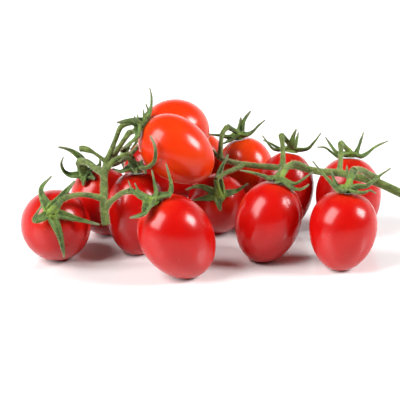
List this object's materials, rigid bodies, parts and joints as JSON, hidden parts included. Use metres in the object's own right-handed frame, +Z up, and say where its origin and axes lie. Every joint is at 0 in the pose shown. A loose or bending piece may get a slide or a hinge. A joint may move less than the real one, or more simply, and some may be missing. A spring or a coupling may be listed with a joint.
{
  "type": "truss of plum cherry tomatoes on the vine",
  "caption": "Bunch of small glossy plum tomatoes with hairy green stems and curled sepals, still joined to their vine and lying on a flat surface",
  "frame": {"origin": "centre of the bunch's outline on the surface it lies on", "axes": "+X along the main stem towards its cut end, +Z up, the camera looks along +Y"},
  "size_m": [0.1964, 0.1502, 0.083],
  "materials": {
    "stem": "matt green stem with fine pale hairs",
    "calyx": "matt green sepals with dry grey-brown tips",
    "skin_red": "smooth glossy red tomato skin",
    "skin_orange_red": "smooth glossy orange-red tomato skin"
  },
  "bodies": {
    "root": {"vine": "stem", "calyx_01": "calyx", "calyx_02": "calyx", "calyx_03": "calyx", "calyx_04": "calyx", "calyx_05": "calyx", "calyx_06": "calyx", "calyx_07": "calyx", "calyx_08": "calyx", "calyx_09": "calyx", "calyx_10": "calyx", "calyx_11": "calyx", "calyx_12": "calyx", "calyx_13": "calyx", "calyx_14": "calyx", "tomato_01": "skin_red", "tomato_02": "skin_red", "tomato_03": "skin_red", "tomato_04": "skin_red", "tomato_05": "skin_red", "tomato_06": "skin_orange_red", "tomato_07": "skin_orange_red", "tomato_08": "skin_orange_red", "tomato_09": "skin_orange_red", "tomato_10": "skin_red", "tomato_11": "skin_red", "tomato_12": "skin_red", "tomato_13": "skin_red", "tomato_14": "skin_red"}
  },
  "joints": []
}
